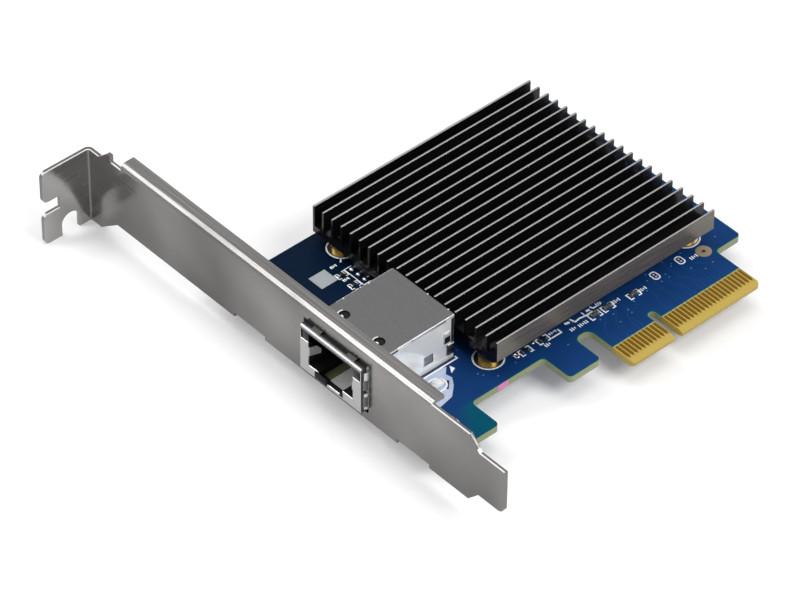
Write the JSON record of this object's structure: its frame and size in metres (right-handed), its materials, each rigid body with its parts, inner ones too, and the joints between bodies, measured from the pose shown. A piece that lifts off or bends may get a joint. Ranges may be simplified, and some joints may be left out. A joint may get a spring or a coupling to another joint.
{
  "type": "network interface card",
  "caption": "Network card on a blue circuit board with a full-height bracket, a network jack, a wide finned heat sink and a gold edge connector.",
  "frame": {"origin": "middle of the key notch, on the finger edge, in the plane of the component side", "axes": "+X from the bracket into the computer, +Y from the edge connector towards the bracket's screw tab, +Z out of the component side"},
  "size_m": [0.1, 0.1211, 0.0208],
  "materials": {
    "board": "glossy blue solder mask",
    "gold": "thin gold plating",
    "bracket_steel": "satin plated sheet",
    "screw_steel": "bright plated",
    "shield_steel": "satin nickel-plated sheet",
    "tin": "tinned",
    "black_nylon": "fine moulded",
    "black_epoxy": "moulded, slightly rough",
    "clear_lens": "translucent",
    "white_lamp": "translucent",
    "black_aluminium": "black anodised, bare cut fin tips",
    "turned_brass": "turned",
    "grey_pad": "soft, matt",
    "ferrite": "pressed powder",
    "capacitor_case": "moulded",
    "ceramic": "fired ceramic with tinned ends"
  },
  "bodies": {
    "root": {"circuit_board": "board", "edge_contacts": "gold", "bracket": "bracket_steel", "bracket_screws": "screw_steel", "jack_shield": "shield_steel", "jack_housing": "black_nylon", "jack_module": "black_epoxy", "jack_contacts": "gold", "jack_pins": "tin", "light_lenses": "clear_lens", "light_diodes": "white_lamp", "heat_sink": "black_aluminium", "heat_sink_barrels": "turned_brass", "heat_sink_screws": "screw_steel", "controller_chip": "black_epoxy", "transceiver_chip": "black_epoxy", "thermal_pads": "grey_pad", "power_inductors": "ferrite", "polymer_capacitors": "capacitor_case", "voltage_regulators": "black_epoxy", "small_regulator": "black_epoxy", "reference_crystal": "tin", "memory_chip": "black_epoxy", "ceramic_capacitors": "ceramic", "chip_resistors": "black_epoxy", "solder_side_capacitors": "ceramic", "indicator_lamp": "white_lamp"}
  },
  "joints": []
}
